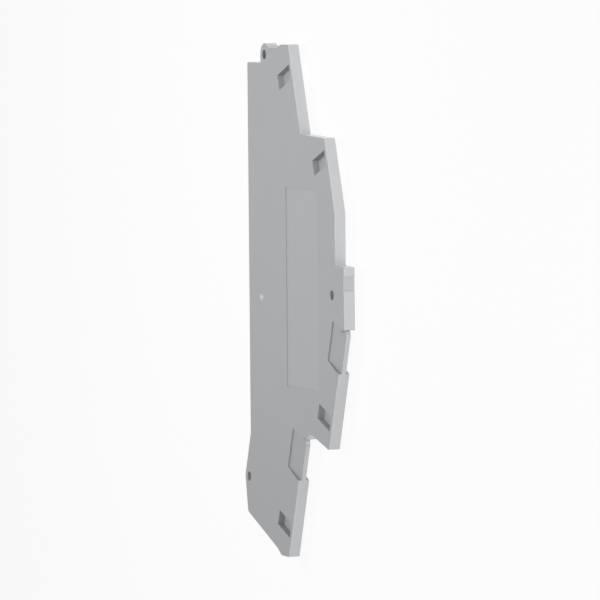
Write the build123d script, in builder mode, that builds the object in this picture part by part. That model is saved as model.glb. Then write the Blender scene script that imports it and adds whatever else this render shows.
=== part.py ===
from build123d import *

import os
from math import atan, degrees, radians, tan

# End cover for a three-level terminal block, one moulding that lies with its front face up, on its pegs.
# The plan has X down the straight base edge, from the shoulder at the upper end, and Y out from that
# edge towards the levels. Z is the front face's own direction. Millimetres and degrees.

# Section
thickness = 2.2  # front face to seat, which is the room that the cover takes in the row
web = 1.53  # front face to the floor of the hollow back
rim_width = 1.0  # wall that stands round the hollow back and seats on the block
edge_radius = 0.15  # moulded rounding round the front face

# Upper end, from the shoulder outwards
shoulder_height = 8.9  # base edge to the middle of the upper ear
dip_rise = 6.4  # from there to the shallow dip under the first level
dip_depth = 0.6
dip_run = 1.7
upper_end_height = 3.75  # of the first level's end above the dip
upper_overhang = 3.4  # of the first level past the shoulder

# Levels, from the upper end to the lower end. Lengths run along X, and rises and drops along Y
level_slant = 19.5  # fall of every level's outer edge towards the two ends
upper_lean = 2.3  # of the two risers at the upper end, off square
lower_lean = 15.0  # of the riser at the lower end, off square
first_upper_length = 16.5
second_rise = 11.8
second_slant_length = 13.55
second_flat_length = 9.5
third_rise = 4.2
third_length = 11.45
second_lower_length = 22.42
second_drop = 11.65
first_lower_length = 24.63

# Lower end, from the first level down to the toe and back to the base edge
lower_end_height = 3.7  # of the first level's end above the jog
jog_depth = 1.15
jog_run = 1.9
toe_slant = 20.5  # slope of the lower end down to the toe
toe_depth = 1.7  # below the base edge
foot_setback = 6.75  # peg in the foot, back from the toe
foot_depth = 0.83  # peg in the foot, below the base edge
foot_lead = 8.3  # from the peg to where the foot leaves the base edge

# Roundings of the plan
corner_radius = 0.4
toe_radius = 1.1
blend_radius = 1.0  # of the dip and the jog
notch_radius = 4.8  # inner corner under the second level

# Pegs: one in the upper ear, one under the third level and one in the foot, each on a boss
peg_radius = 1.5
peg_reach = 1.5  # past the seat
peg_chamfer = 0.3
boss_wall = 0.6  # between a peg's side and the outside of its boss, which the ear and the foot follow
core_radius = 0.9  # blind hole that cores each peg from the front
core_floor = 0.8  # left at the peg's tip
ear_overhang = 1.5  # upper peg, past the shoulder
middle_run = 5.5  # middle peg, from the foot of the third level's riser
middle_drop = 5.6  # middle peg, below the third level's edge

# Tabs: thin windows in the lower edges, where the rim is left out behind
tab_recess = 0.68  # front face down to the tab, at the level's edge
tab_inner_recess = 0.25  # and at the tab's inner side, from where it slopes down
tab_width = 5.6  # from the level's edge inwards
tab_length = 7.75  # along the tab's inner side
tab_flare = 4.5  # each side opens outwards by this angle
tab_overhang = 1.0  # of the window past the level's edge, so that it opens there
tab_round = 1.1  # upper outer corner of the tab
tab_gap = 0.3  # slot that frees this corner from the window's side
first_tab = 5.85  # middle of the tab, along X from the riser's foot
second_tab = 4.1  # middle of the tab, along X from the third level's corner

# Pockets: one near each end of both slanted levels, each over a pad that is flush with the seat
pocket_depth = 1.1
pocket_width = 6.2  # across the level's edge
pocket_length = 2.9  # along the level's edge
pocket_margin = 0.6  # left between the pocket and the level's edge
pocket_draft = 3.0
pad_wall = 0.8  # of the pad, on each side of the pocket
first_pockets = (4.85, 4.85)  # middles, along X from the first level's upper and lower ends
second_pockets = (3.35, 4.65)

# Front face
panel_depth = 0.12  # sunk marking field, left blank
panel_start = 23.1
panel_length = 37.1
panel_height = 19.2  # of the field's lower side
panel_width = 15.7
dish_radius = 2.9  # shallow dish round the moulding gate
dish_depth = 0.1
gate_radius = 0.5
gate_stub = 0.08
gate_place = (44.15, 5.95)
band_depth = 0.12  # shallow band across the third level's edge
band_run = 1.7  # from the level's corner to the band
band_length = 2.7

front = peg_reach + thickness
hollow_floor = front - web
boss_radius = peg_radius + boss_wall
fall = tan(radians(level_slant))
upper_give = tan(radians(upper_lean))
lower_give = tan(radians(lower_lean))

# Corners of the plan, from the upper ear round to the toe
ear_place = (-ear_overhang, shoulder_height)
dip_end = (dip_depth - upper_overhang, shoulder_height + dip_rise)
dip_top = (-upper_overhang, dip_end[1] + dip_run)
first_upper = (-upper_overhang, dip_top[1] + upper_end_height)
first_riser = (first_upper[0] + first_upper_length, first_upper[1] + first_upper_length * fall)
second_upper = (first_riser[0] + second_rise * upper_give, first_riser[1] + second_rise)
second_bend = (second_upper[0] + second_slant_length, second_upper[1] + second_slant_length * fall)
third_riser = (second_bend[0] + second_flat_length, second_bend[1])
third_upper = (third_riser[0] + third_rise * upper_give, third_riser[1] + third_rise)
third_lower = (third_upper[0] + third_length, third_upper[1])
second_lower = (third_lower[0] + second_lower_length, third_lower[1] - second_lower_length * fall)
notch = (second_lower[0] - second_drop * lower_give, second_lower[1] - second_drop)
first_lower = (notch[0] + first_lower_length, notch[1] - first_lower_length * fall)
jog_end = (first_lower[0], first_lower[1] - lower_end_height)
jog_top = (jog_end[0] - jog_depth, jog_end[1] - jog_run)
toe = (jog_top[0] - (jog_top[1] + toe_depth) * tan(radians(toe_slant)), -toe_depth)

foot_place = (toe[0] - foot_setback, -foot_depth)
foot_start = (foot_place[0] - foot_lead, 0)
middle_place = (third_riser[0] + middle_run, third_upper[1] - middle_drop)
pegs = (ear_place, middle_place, foot_place)
tab_slope = degrees(atan((tab_recess - tab_inner_recess) / tab_width))
tab_give = tan(radians(tab_flare))
pocket_inset = pocket_margin + pocket_width / 2
dish_sphere = (dish_radius**2 + dish_depth**2) / (2 * dish_depth)


def on_edge(corner, run, slant):
    """The place on a level's edge at a run along X from a corner, with its own Y out of the plate."""
    return Location((corner[0] + run, corner[1] + run * tan(radians(slant))), slant)


def vertices_at(sketch, *places):
    """The sketch's vertices at some plan places."""
    return [sketch.vertices().sort_by_distance(Vector(place))[0] for place in places]


tabs = [
    on_edge(notch, first_tab, -level_slant),
    on_edge(third_lower, second_tab, -level_slant),
]
pockets = [
    on_edge(first_upper, first_pockets[0], level_slant),
    on_edge(second_upper, second_pockets[0], level_slant),
    on_edge(first_lower, -first_pockets[1], -level_slant),
    on_edge(second_lower, -second_pockets[1], -level_slant),
]

# Foot that carries the lower peg, drawn tight round its boss from the base edge to the toe
with BuildSketch() as foot:
    with BuildLine():
        CenterArc(foot_place, boss_radius, 0, 360)
        Line(foot_start, toe)
    make_hull()

# Outline of the plate, with the ear that carries the upper peg
with BuildSketch() as outline:
    with BuildLine():
        Polyline(
            (0, 0),
            (0, shoulder_height),
            (dip_end[0], shoulder_height),
            dip_end,
            dip_top,
            first_upper,
            first_riser,
            second_upper,
            second_bend,
            third_riser,
            third_upper,
            third_lower,
            second_lower,
            notch,
            first_lower,
            jog_end,
            jog_top,
            toe,
            foot_start,
            close=True,
        )
    make_face()
    SlotCenterPoint((boss_radius - ear_overhang, shoulder_height), ear_place, 2 * boss_radius)
    add(foot.sketch)
    fillet(vertices_at(outline, notch), notch_radius)
    fillet(vertices_at(outline, toe), toe_radius)
    fillet(vertices_at(outline, dip_end, dip_top, jog_end, jog_top), blend_radius)
    upper_corners = (first_upper, first_riser, second_upper, second_bend)
    third_corners = (third_riser, third_upper, third_lower)
    lower_corners = (second_lower, first_lower)
    corners = ((0, 0), *upper_corners, *third_corners, *lower_corners)
    fillet(vertices_at(outline, *corners), corner_radius)

plan_middle = outline.sketch.bounding_box().center()


def plan_at(height):
    """The plan's plane at a height, with the part's origin under the middle of the outline."""
    return Plane(origin=(-plan_middle.X, -plan_middle.Y, height))


# Window of a tab, open at the level's edge, which is its own X
with BuildSketch() as window:
    with Locations((0, (tab_overhang - tab_width) / 2)):
        Trapezoid(
            tab_length + 2 * (tab_width + tab_overhang) * tab_give,
            tab_width + tab_overhang,
            90 - tab_flare,
            rotation=180,
        )

with BuildSketch() as windows:
    with Locations(*tabs):
        add(window.sketch)

# What is open beside the rounded upper outer corner of each tab
with BuildSketch() as tab_corners:
    with Locations(*tabs):
        with Locations((-tab_length / 2 - tab_width * tab_give, -tab_round)):
            Rectangle(tab_gap + tab_round, tab_round + tab_overhang, align=(Align.MIN, Align.MIN))
            with Locations((tab_gap + tab_round, 0)):
                Circle(tab_round, mode=Mode.SUBTRACT)
    add(windows.sketch, mode=Mode.INTERSECT)

# Rim that turns inwards round each window
with BuildSketch() as window_rims:
    add(windows.sketch)
    offset(amount=rim_width, kind=Kind.INTERSECTION, mode=Mode.REPLACE)

# Hollow of the back, inside the rim. A pad stands behind each pocket, and a boss under each peg
with BuildSketch() as hollow:
    add(outline.sketch)
    offset(amount=-rim_width, mode=Mode.REPLACE)
    with Locations(*pockets):
        with Locations((0, -pocket_inset)):
            Rectangle(pocket_length + 2 * pad_wall, pocket_width + 2 * pad_wall, mode=Mode.SUBTRACT)
    with Locations(*pegs):
        Circle(boss_radius, mode=Mode.SUBTRACT)
    add(window_rims.sketch, mode=Mode.SUBTRACT)
    add(windows.sketch)

with BuildPart() as end_cover:
    # Plate, with its front edge rounded
    with BuildSketch(plan_at(peg_reach)):
        add(outline.sketch)
    extrude(amount=thickness)
    fillet(end_cover.faces().sort_by(Axis.Z)[-1].edges(), edge_radius)

    # Hollow back
    with BuildSketch(plan_at(peg_reach)):
        add(hollow.sketch)
    extrude(amount=thickness - web, mode=Mode.SUBTRACT)

    # Tabs, stepped down from the front face and sloping down to the level's edge
    for tab in tabs:
        with BuildSketch(plan_at(front - tab_recess) * tab * Rotation(-tab_slope, 0, 0)):
            add(window.sketch)
        extrude(amount=thickness, dir=(0, 0, 1), mode=Mode.SUBTRACT)
    with BuildSketch(plan_at(front)):
        add(tab_corners.sketch)
    extrude(amount=-thickness, mode=Mode.SUBTRACT)

    # Pockets
    with BuildSketch(plan_at(front)):
        with Locations(*pockets):
            with Locations((0, -pocket_inset)):
                Rectangle(pocket_length, pocket_width)
    extrude(amount=-pocket_depth, taper=pocket_draft, mode=Mode.SUBTRACT)

    # Marking field
    with BuildSketch(plan_at(front)):
        with Locations((panel_start, panel_height)):
            Rectangle(panel_length, panel_width, align=(Align.MIN, Align.MIN))
    extrude(amount=-panel_depth, mode=Mode.SUBTRACT)

    # Dish round the gate, with the gate's stub in its middle
    with Locations(plan_at(front - dish_depth) * Location((*gate_place, dish_sphere))):
        Sphere(dish_sphere, mode=Mode.SUBTRACT)
    with BuildSketch(plan_at(front - dish_depth)):
        with Locations(gate_place):
            Circle(gate_radius)
    extrude(amount=gate_stub)

    # Band across the third level's edge
    with BuildSketch(plan_at(front)):
        with Locations((third_upper[0] + band_run, third_upper[1] - band_depth)):
            Rectangle(band_length, rim_width, align=(Align.MIN, Align.MIN))
    extrude(amount=-thickness, mode=Mode.SUBTRACT)

    # Pegs, chamfered at the tip and cored from the front
    with BuildSketch(plan_at(peg_reach)):
        with Locations(*pegs):
            Circle(peg_radius)
    extrude(amount=-peg_reach)
    chamfer(end_cover.faces().group_by(Axis.Z)[0].edges(), peg_chamfer)
    with BuildSketch(plan_at(front)):
        with Locations(*pegs):
            Circle(core_radius)
    extrude(amount=core_floor - front, mode=Mode.SUBTRACT)

end_cover.part.label = "end_cover"
os.makedirs("parts", exist_ok=True)
export_step(end_cover.part, "parts/end_cover.step")
print("size", end_cover.part.bounding_box().size, "volume", round(end_cover.part.volume))
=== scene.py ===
from math import cos, radians, sin

import bpy
from mathutils import Matrix, Vector

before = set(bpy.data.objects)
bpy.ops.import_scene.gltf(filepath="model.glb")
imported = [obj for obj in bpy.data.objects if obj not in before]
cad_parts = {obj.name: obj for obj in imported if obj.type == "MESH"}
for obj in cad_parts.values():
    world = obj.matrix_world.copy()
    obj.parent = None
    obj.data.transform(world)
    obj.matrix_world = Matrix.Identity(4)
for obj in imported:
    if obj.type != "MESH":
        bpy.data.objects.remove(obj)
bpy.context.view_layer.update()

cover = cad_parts["end_cover"]
scene = bpy.context.scene
mm = 0.001
print("frame loaded, cover of", len(cover.data.polygons), "triangles")


class Field:
    # an output socket that takes part in sums, products and comparisons
    def __init__(self, bench, socket):
        self.bench = bench
        self.socket = socket

    def calc(self, operation, *values):
        return self.bench.add("ShaderNodeMath", {"operation": operation}, dict(enumerate(values)))

    def __add__(self, other):
        return self.calc("ADD", self, other)

    def __radd__(self, other):
        return self.calc("ADD", other, self)

    def __sub__(self, other):
        return self.calc("SUBTRACT", self, other)

    def __rsub__(self, other):
        return self.calc("SUBTRACT", other, self)

    def __mul__(self, other):
        return self.calc("MULTIPLY", self, other)

    def __rmul__(self, other):
        return self.calc("MULTIPLY", other, self)

    def __truediv__(self, other):
        return self.calc("DIVIDE", self, other)

    def __pow__(self, other):
        return self.calc("POWER", self, other)

    def __lt__(self, other):
        return self.calc("LESS_THAN", self, other)

    def __gt__(self, other):
        return self.calc("GREATER_THAN", self, other)


class NodeBench:
    # the node tree of a material or a world, and the single way to put a node on it
    def __init__(self, owner):
        owner.use_nodes = True
        self.tree = owner.node_tree
        self.tree.nodes.clear()

    def add(self, kind, settings=None, inputs=None, output=0):
        node = self.tree.nodes.new(kind)
        for key, value in (settings or {}).items():
            setattr(node, key, value)
        for key, value in (inputs or {}).items():
            if isinstance(value, Field):
                self.tree.links.new(value.socket, node.inputs[key])
            else:
                node.inputs[key].default_value = value
        return Field(self, node.outputs[output]) if node.outputs else node

    def looked(self):
        # 1 for a ray that the camera, a reflection or a clear surface sends, 0 for the light of the room
        camera = self.add("ShaderNodeLightPath", output="Is Camera Ray")
        glossy = self.add("ShaderNodeLightPath", output="Is Glossy Ray")
        clear = self.add("ShaderNodeLightPath", output="Is Transmission Ray")
        return (camera + glossy + clear) > 0.5

    def part(self, vector, axis):
        return self.add("ShaderNodeSeparateXYZ", {}, {0: vector}, output=axis)

    def openness(self, reach, **settings):
        # 1 where nothing is near, 0 where the surface is closed in, over a reach in millimetres
        return self.add("ShaderNodeAmbientOcclusion", settings, {"Distance": reach * mm}, output="AO")

    def smooth(self, value, low, high):
        # 0 below low, 1 above high, with a soft step between
        settings = {"interpolation_type": "SMOOTHSTEP"}
        return self.add("ShaderNodeMapRange", settings, {0: value, 1: low, 2: high, 3: 0.0, 4: 1.0})

    def noise(self, place, size, detail=2.0, roughness=0.5):
        # even noise from 0 to 1, with lumps of about the given size in millimetres
        inputs = {"Vector": place, "Scale": 1 / size, "Detail": detail, "Roughness": roughness}
        return self.add("ShaderNodeTexNoise", {}, inputs)

    def blend(self, share, first, second):
        settings = {"data_type": "RGBA", "clamp_factor": True}
        return self.add("ShaderNodeMix", settings, {0: share, 6: first, 7: second}, output=2)


# Moulded polyamide of the cover. Sizes are in millimetres, places in the row frame, and a share is
# how far a colour moves towards the pale or the dark one
polyamide = {
    "colour": (0.405, 0.410, 0.422, 1),
    # the pale colour also serves painted light on some walls and a painted highlight along the outline
    "paleColour": (0.60, 0.605, 0.61, 1),         # where the plastic is stretched or rubbed
    "paleShare": 0.06,
    "roughness": 0.52,
    "roughnessSpread": 0.10,                      # from the flow of the melt
    "ior": 1.50,
    "specular": 0.45,
    "frontHeight": 3.7,
    "skin": 0.01,                                 # a point this far below the front is on a wall
    # mould grain and a slow ripple of the surface
    "grainSize": 0.20,
    "grainHeight": 0.030,
    "rippleSize": 2.6,
    "rippleHeight": 0.010,
    # clouds of the colour, and streaks left by the melt all round the gate
    "cloudSize": 14.0,
    "cloudShare": 0.08,
    "flowSize": 5.0,
    "flowShare": 0.06,
    "streakLines": 9.0,
    "streakDrift": 0.04,                          # how fast a streak changes on its way out
    "streakShare": 0.07,
    "gatePlace": (-0.10, -16.00),
    "gateReach": (0.80, 1.20),                    # of the blush round the gate's stub
    "gateColour": (0.76, 0.765, 0.77, 1),
    "gateRoughness": 0.12,                        # more than round it
    # marking field, which comes out paler and smoother, with painted light on its wall towards the base
    # edge
    "fieldLow": (-21.19, -3.03),
    "fieldHigh": (15.91, 12.67),
    "fieldSlack": 0.02,                           # a point this near the lower side is on its wall
    "fieldReach": 0.3,                            # below the front, to the field's floor and past it
    "fieldShare": 0.05,
    "fieldWallPaintedLight": 1.3,
    "fieldRoughness": 0.44,
    "fieldPolish": 0.6,                           # of the grain that it lacks
    # worn edges, and a painted highlight: a pale line along the front's outline
    "edgeReach": 0.22,
    "edgeLimits": (0.35, 0.9),                    # of the edge's sharpness, from whole to worn
    "edgePatches": (0.40, 0.75),                  # of the flow noise, which breaks the wear up
    "edgeShare": 0.28,
    "lineRun": (0.6, 0.2),                        # below the front, from nothing to full
    "paintedHighlightShare": 0.14,
    # painted shade in the corners, less of it on level faces
    "paintedShadeColour": (0.215, 0.215, 0.220, 1),
    "hollowReach": 1.8,
    "paintedShadeShare": 0.26,
    "levelFacing": 0.9,                           # upwards, from which a face is level
    "levelLoss": 0.7,
    # painted shade in a band across the third level's edge
    "bandRun": (-6.15, -3.15),
    "bandSoftness": 0.6,
    "bandHeight": 24.9,                           # along Y
    "bandShadeShare": 0.26,
    # painted shade on the end walls at the lower ends of the tabs' windows, darker deep down, under the
    # tab
    "tabEnds": ((11.6, 15.0), (32.7, -5.0)),
    "tabEndReach": 1.304,                         # along X, to both sides
    "tabEndFacing": -0.8,
    "tabEndShare": 0.34,
    "tabCornerHeight": 2.35,
    "tabCornerShare": 0.55,
    # painted shade in the slots at the tabs' rounded corners, mostly on level faces
    "slotPlaces": ((4.28, 23.5), (25.2, 5.2)),
    "slotReach": (0.45, 1.5),
    "slotShare": 0.75,
    "slotWallLoss": 0.8,
    "spotCore": 0.2,                              # of a spot's reach, at full strength
    "spotDepth": 0.9,
    # painted shade and painted light on the walls of the four pockets, of the upper core hole and of the
    # tabs' rounded corners, in this order.
    # An end wall faces along X, a side wall along Y
    "recesses": (
        {"middle": (-41.6, -3.3), "reach": 3.55, "endShade": 0.30, "sideShade": 0.0, "sidePaintedLight": 0.74},
        {"middle": (-26.1, 13.9), "reach": 3.55, "endShade": 0.32, "sideShade": 0.0, "sidePaintedLight": 0.55},
        {"middle": (20.5, 15.4), "reach": 3.55, "endShade": 0.25, "sideShade": 0.0, "sidePaintedLight": 0.10},
        {"middle": (41.8, -4.9), "reach": 3.55, "endShade": 0.55, "sideShade": 0.25, "sidePaintedLight": 0.0},
        {"middle": (-45.79, -13.33), "reach": 1.1, "endShade": 0.3, "sideShade": 0.3, "sidePaintedLight": 0.0},
        # at the tabs' rounded corners the negative shade and the paleness are painted light on shaded
        # faces
        {"middle": (4.15, 24.3), "reach": 0.45, "endShade": -0.3, "sideShade": -0.3, "sidePaintedLight": 0.70},
        {"middle": (25.85, 4.3), "reach": 0.6, "endShade": -0.3, "sideShade": -0.3, "sidePaintedLight": 0.55},
    ),
    "endFacing": 0.5,                             # squared, along X
}


def makePolyamide(v):
    # colour = base, moved towards pale by clouds, flow, streaks, worn edges, the marking field and
    # painted light on the field's wall, the pocket walls and the outline, then towards the gate's
    # colour, then towards a painted shade colour in corners, slots, pockets, the tabs' end walls and the
    # band.
    # height = grain, with less of it in the marking field, and a slow ripple
    material = bpy.data.materials.new("mouldedPolyamide")
    bench = NodeBench(material)
    coordinates = bench.add("ShaderNodeTexCoord", output="Object")
    place = bench.add("ShaderNodeVectorMath", {"operation": "SCALE"}, {0: coordinates, 3: 1 / mm})
    x, y, z = (bench.part(place, axis) for axis in "XYZ")
    normals = bench.add("ShaderNodeTexCoord", output="Normal")
    facingX, facingUp = bench.part(normals, "X"), bench.part(normals, "Z")
    upright = facingUp < 0.5
    atEnd = facingX ** 2.0 > v["endFacing"]
    front = v["frontHeight"]
    underFront = z < front - v["skin"]

    def apart(middle, reach):
        # distance from a place of the plan, where an ellipse of the given reach is 1
        return (((x - middle[0]) / reach[0]) ** 2.0 + ((y - middle[1]) / reach[1]) ** 2.0) ** 0.5

    def spot(middle, reach):
        # 1 in the middle of an ellipse of the front face, down to 0 at its outline
        inside = 1.0 - bench.smooth(apart(middle, reach), v["spotCore"], 1.0)
        return inside * (z > front - v["spotDepth"])

    stub = spot(v["gatePlace"], v["gateReach"])

    # marking field: a sunk rectangle of the front face, and its wall towards the base edge
    (lowX, lowY), (highX, highY) = v["fieldLow"], v["fieldHigh"]
    inField = (x > lowX) * (x < highX) * (y > lowY - v["fieldSlack"]) * (y < highY)
    inField = inField * (z > front - v["fieldReach"])
    fieldWall = inField * (y < lowY + v["fieldSlack"]) * underFront

    # streaks: noise of the direction from the gate, which changes slowly with the distance
    gateX, gateY = v["gatePlace"]
    away = apart(v["gatePlace"], (1.0, 1.0))
    heading = {
        0: (x - gateX) / away * v["streakLines"],
        1: (y - gateY) / away * v["streakLines"],
        2: away * v["streakDrift"],
    }
    streaks = bench.noise(bench.add("ShaderNodeCombineXYZ", {}, heading), 1.0)
    clouds = bench.noise(place, v["cloudSize"], detail=3.0, roughness=0.6)
    flow = bench.noise(place, v["flowSize"], detail=4.0, roughness=0.65)

    # pale: clouds, flow and streaks, then worn edges in patches, the field, painted light on the field's
    # wall and a painted highlight along the outline
    pale = v["paleShare"] + (clouds - 0.5) * v["cloudShare"] + (flow - 0.5) * v["flowShare"]
    pale = pale + (streaks - 0.5) * v["streakShare"]
    edge = 1.0 - bench.openness(v["edgeReach"], inside=True, samples=8)
    worn = bench.smooth(edge, *v["edgeLimits"]) * bench.smooth(flow, *v["edgePatches"])
    pale = pale + worn * v["edgeShare"]
    pale = pale + inField * v["fieldShare"] + fieldWall * v["fieldWallPaintedLight"]
    lineStart, lineEnd = v["lineRun"]
    pale = pale + upright * bench.smooth(z, front - lineStart, front - lineEnd) * v["paintedHighlightShare"]

    # painted shade: corners, then the band, the tabs' end walls and the slots
    corner = 1.0 - bench.openness(v["hollowReach"], only_local=True, samples=12)
    dark = corner * (1.0 - (facingUp > v["levelFacing"]) * v["levelLoss"]) * v["paintedShadeShare"]
    bandLow, bandHigh = v["bandRun"]
    band = bench.smooth(x, bandLow, bandLow + v["bandSoftness"]) * (x < bandHigh)
    dark = dark + band * (y > v["bandHeight"]) * v["bandShadeShare"]
    for endX, endY in v["tabEnds"]:
        wall = (facingX < v["tabEndFacing"]) * ((x - endX) ** 2.0 < v["tabEndReach"] ** 2) * (y > endY)
        dark = dark + wall * (v["tabEndShare"] + (z < v["tabCornerHeight"]) * v["tabCornerShare"])
    for middle in v["slotPlaces"]:
        slot = spot(middle, v["slotReach"]) * (1.0 - upright * v["slotWallLoss"])
        dark = dark + slot * v["slotShare"]

    # walls of the recesses, each with its own painted shade and painted light
    for recess in v["recesses"]:
        near = apart(recess["middle"], (recess["reach"], recess["reach"])) < 1.0
        wall = near * upright * underFront
        more = recess["endShade"] - recess["sideShade"]
        dark = dark + wall * (atEnd * more + recess["sideShade"])
        pale = pale + wall * (1.0 - atEnd) * recess["sidePaintedLight"]

    colour = bench.blend(pale, v["colour"], v["paleColour"])
    colour = bench.blend(stub, colour, v["gateColour"])
    colour = bench.blend(dark, colour, v["paintedShadeColour"])

    grain = bench.noise(place, v["grainSize"], detail=3.0, roughness=0.6) * v["grainHeight"]
    ripple = bench.noise(place, v["rippleSize"], detail=1.0) * v["rippleHeight"]
    height = grain * (1.0 - inField * v["fieldPolish"]) + ripple
    normal = bench.add("ShaderNodeBump", {}, {"Strength": 1.0, "Distance": mm, "Height": height})

    roughness = v["roughness"] + inField * (v["fieldRoughness"] - v["roughness"])
    roughness = roughness + (flow - 0.5) * v["roughnessSpread"] + stub * v["gateRoughness"]
    inputs = {
        "Base Color": colour,
        "Roughness": roughness,
        "Normal": normal,
        "IOR": v["ior"],
        "Specular IOR Level": v["specular"],
    }
    surface = bench.add("ShaderNodeBsdfPrincipled", {}, inputs)
    bench.add("ShaderNodeOutputMaterial", {}, {"Surface": surface})
    return material


coverMaterial = makePolyamide(polyamide)
for slot in cover.material_slots:
    slot.material = coverMaterial
print("cover dressed")

# Floor: white, with the cover's shadow kept pale where it is looked at
ground = {
    "halfSide": 3.0,
    "colour": (0.85, 0.85, 0.85, 1),
    "seenColour": (0.98, 0.98, 0.98, 1),
    "white": (1, 1, 1, 1),
    "whiteShare": 0.90,
}


def makeFloor(v):
    # a square in the plane of the peg tips
    s = v["halfSide"]
    mesh = bpy.data.meshes.new("floor")
    mesh.from_pydata([(-s, -s, 0), (s, -s, 0), (s, s, 0), (-s, s, 0)], [], [(0, 1, 2, 3)])
    floor = bpy.data.objects.new("floor", mesh)
    scene.collection.objects.link(floor)

    paper = bpy.data.materials.new("floorPaper")
    bench = NodeBench(paper)
    plain = bench.add("ShaderNodeBsdfDiffuse", {}, {"Color": v["colour"]})
    bright = bench.add("ShaderNodeBsdfDiffuse", {}, {"Color": v["seenColour"]})
    white = bench.add("ShaderNodeEmission", {}, {"Color": v["white"], "Strength": 1.0})
    seen = bench.add("ShaderNodeMixShader", {}, {0: v["whiteShare"], 1: bright, 2: white})
    surface = bench.add("ShaderNodeMixShader", {}, {0: bench.looked(), 1: plain, 2: seen})
    bench.add("ShaderNodeOutputMaterial", {}, {"Surface": surface})
    mesh.materials.append(paper)


makeFloor(ground)
print("floor laid")

# Camera: the photograph's view, with the cover's length upright in the picture
view = {
    "awayFromNormal": 68.3,     # degrees between the line of sight and the front face's normal
    "above": 4.5,               # degrees that the camera stands towards the upper end
    "turn": 1.36,               # degrees of the base edge off upright
    "distance": 1.0,
    "lens": 324.6,
    "sensorWidth": 36.0,
    "clip": (0.05, 20.0),
    "lookAt": (-0.545, 4.274, 3.7),
    "shiftRight": -0.185,       # millimetres that the look-at point moves along the picture
}


def makeCamera(v):
    # the three axes of the picture in the row frame, from the angles of the line of sight
    away, above, turn = radians(v["awayFromNormal"]), radians(v["above"]), radians(v["turn"])
    right = Vector((cos(away) * sin(turn), cos(away) * cos(turn), -sin(away)))
    back = Vector((
        sin(away) * cos(above) * sin(turn) - sin(above) * cos(turn),
        sin(away) * cos(above) * cos(turn) + sin(above) * sin(turn),
        cos(away) * cos(above),
    ))
    up = back.cross(right)
    target = Vector(v["lookAt"]) * mm + right * v["shiftRight"] * mm
    data = bpy.data.cameras.new("camera")
    data.lens, data.sensor_width = v["lens"], v["sensorWidth"]
    data.clip_start, data.clip_end = v["clip"]
    camera = bpy.data.objects.new("camera", data)
    turned = Matrix((right, up, back)).transposed().to_4x4()
    camera.matrix_world = Matrix.Translation(target + back * v["distance"]) @ turned
    scene.collection.objects.link(camera)
    scene.camera = camera


makeCamera(view)

# Light: a pale room, a soft lamp over the upper end, one to the side of the levels, and a light table
# of two halves, which lies on the floor and lights the edges from below the front face. In metres
light = {
    "roomStrength": 0.32,
    "lamps": {
        "overLamp": {
            "place": (-0.05, -0.035, 0.16),
            "target": (0, 0, 0),
            "size": (0.10, 0.10),
            "power": 0.126,
        },
        "sideLamp": {
            "place": (0, 0.25, 0.16),
            "target": (0, 0, 0),
            "size": (0.16, 0.12),
            "power": 0.205,
        },
        "tableLeft": {
            "place": (-0.118, 0.08, 0.00005),
            "target": (-0.118, 0.08, 1),
            "size": (0.244, 0.32),
            "power": 0.30,
        },
        "tableRight": {
            "place": (0.094, 0.08, 0.00005),
            "target": (0.094, 0.08, 1),
            "size": (0.18, 0.32),
            "power": 0.172,
        },
    },
}


def makeRoom(v):
    # a plain world, which is white where it is looked at
    world = bpy.data.worlds.new("room")
    scene.world = world
    bench = NodeBench(world)
    strength = v["roomStrength"] + bench.looked() * (1 - v["roomStrength"])
    room = bench.add("ShaderNodeBackground", {}, {"Color": (1, 1, 1, 1), "Strength": strength})
    bench.add("ShaderNodeOutputWorld", {}, {"Surface": room})


def makeLamp(name, v):
    # a rectangular area lamp that faces its target
    data = bpy.data.lights.new(name, "AREA")
    data.shape, data.energy = "RECTANGLE", v["power"]
    data.size, data.size_y = v["size"]
    lamp = bpy.data.objects.new(name, data)
    place = Vector(v["place"])
    away = (place - Vector(v["target"])).normalized()
    lamp.matrix_world = Matrix.Translation(place) @ away.to_track_quat("Z", "Y").to_matrix().to_4x4()
    lamp.visible_camera = False
    scene.collection.objects.link(lamp)


makeRoom(light)
for name, values in light["lamps"].items():
    makeLamp(name, values)
scene.view_settings.view_transform = "Standard"
print("camera and light set")
